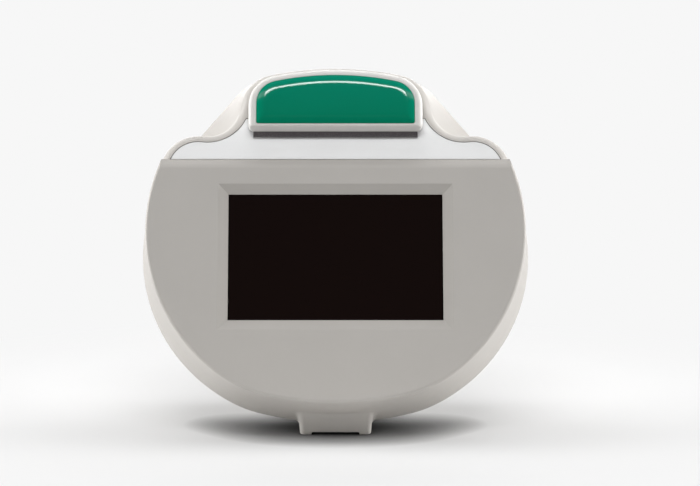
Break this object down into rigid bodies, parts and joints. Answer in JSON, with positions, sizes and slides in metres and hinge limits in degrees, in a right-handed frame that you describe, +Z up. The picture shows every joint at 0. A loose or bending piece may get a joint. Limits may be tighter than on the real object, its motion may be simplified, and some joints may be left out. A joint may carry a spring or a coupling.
{
  "type": "rapid test reader",
  "caption": "Table-top test strip reader: a leaning disc-shaped housing with a touch screen and a test drawer in a raised hump, on a small front foot and a rear stand leg.",
  "frame": {"origin": "on the floor under the middle of the whole object's box", "axes": "+Z up, +X to the right as seen by the user, -Y towards the user"},
  "size_m": [0.2004, 0.1572, 0.1828],
  "materials": {
    "black_foam": "closed-cell foam",
    "button_plastic": "satin dark grey",
    "cassette_plastic": "white styrene",
    "chassis_plastic": "glass-filled black",
    "circuit_board": "solder mask",
    "dark_plastic": "moulded",
    "flat_cable": "polyimide film",
    "green_label": "clear domed resin over green print",
    "grip_plastic": "satin light grey",
    "ground_steel": "ground",
    "heater_aluminium": "machined",
    "housing_plastic": "fine moulded texture, warm light grey",
    "insulation": "felt",
    "lcd_metal": "tinned sheet back",
    "led_lens": "clear",
    "lens_black": "black anodised",
    "motor_steel": "pressed can",
    "nickel": "nickel plated",
    "plate_foil": "bare silver foil",
    "rail_plastic": "acetal",
    "rubber": "moulded",
    "screen_glass": "black behind glass",
    "sheet_steel": "zinc plated",
    "socket_plastic": "nylon",
    "socket_steel": "pressed",
    "steel_screws": "zinc plated",
    "strip_card": "membrane",
    "tray_plastic": "dark grey, light-absorbing",
    "white_panel": "satin white"
  },
  "bodies": {
    "housing": {"board_screws": "steel_screws", "bracket_screws": "steel_screws", "button_switch": "dark_plastic", "buzzer": "dark_plastic", "cable_socket": "socket_plastic", "catch_magnet": "nickel", "chassis_screws": "steel_screws", "cover_screws": "steel_screws", "display_cable": "flat_cable", "drawer_switch": "dark_plastic", "front_housing": "housing_plastic", "guide_rods": "ground_steel", "heater_insulation": "insulation", "heater_plate": "heater_aluminium", "housing_screws": "steel_screws", "label_panel": "white_panel", "lcd_bracket": "sheet_steel", "lcd_module": "lcd_metal", "leg_screws": "steel_screws", "main_board": "circuit_board", "memory_chips": "dark_plastic", "optics_chassis": "chassis_plastic", "optics_cover": "housing_plastic", "power_jack": "dark_plastic", "processor": "dark_plastic", "rail_left": "rail_plastic", "rail_right": "rail_plastic", "rating_plate": "plate_foil", "rear_housing": "housing_plastic", "rubber_feet": "rubber", "screen_gasket": "black_foam", "stand_leg": "housing_plastic", "stepper_motor": "motor_steel", "touchscreen_glass": "screen_glass", "usb_port": "socket_steel"},
    "drawer": {"drawer_front": "grip_plastic", "drawer_label": "green_label", "light_seal": "black_foam", "drawer_tray": "tray_plastic", "tray_magnet": "nickel", "test_cassette": "cassette_plastic", "test_strip": "strip_card"},
    "read_head": {"read_head": "chassis_plastic", "camera_board": "circuit_board", "camera_sensor": "dark_plastic", "lens_barrel": "lens_black", "led_board": "circuit_board", "leds": "led_lens"},
    "lead_screw": {"lead_screw": "ground_steel"},
    "power_button": {"power_button": "button_plastic"}
  },
  "joints": [
    {"name": "drawer_slide", "type": "slide", "parent": "housing", "child": "drawer", "axis": [0, -0.9272, 0.3746], "range_m": [0, 0.066]},
    {"name": "head_scan", "type": "slide", "parent": "housing", "child": "read_head", "axis": [0, 0.9272, -0.3746], "range_m": [0, 0.036]},
    {"name": "screw_turn", "type": "hinge", "parent": "housing", "child": "lead_screw", "pos_m": [0.013, 0.02019, 0.15995], "axis": [0, -0.9272, 0.3746], "range_deg": [0, 2160]},
    {"name": "power_press", "type": "slide", "parent": "housing", "child": "power_button", "axis": [0, -0.9272, 0.3746], "range_m": [0, 0.0012], "stiffness_N_per_m": 1200}
  ],
  "couplings": [
    {"joint": "screw_turn", "follows": "head_scan", "rad_per_m": 1047.2}
  ]
}
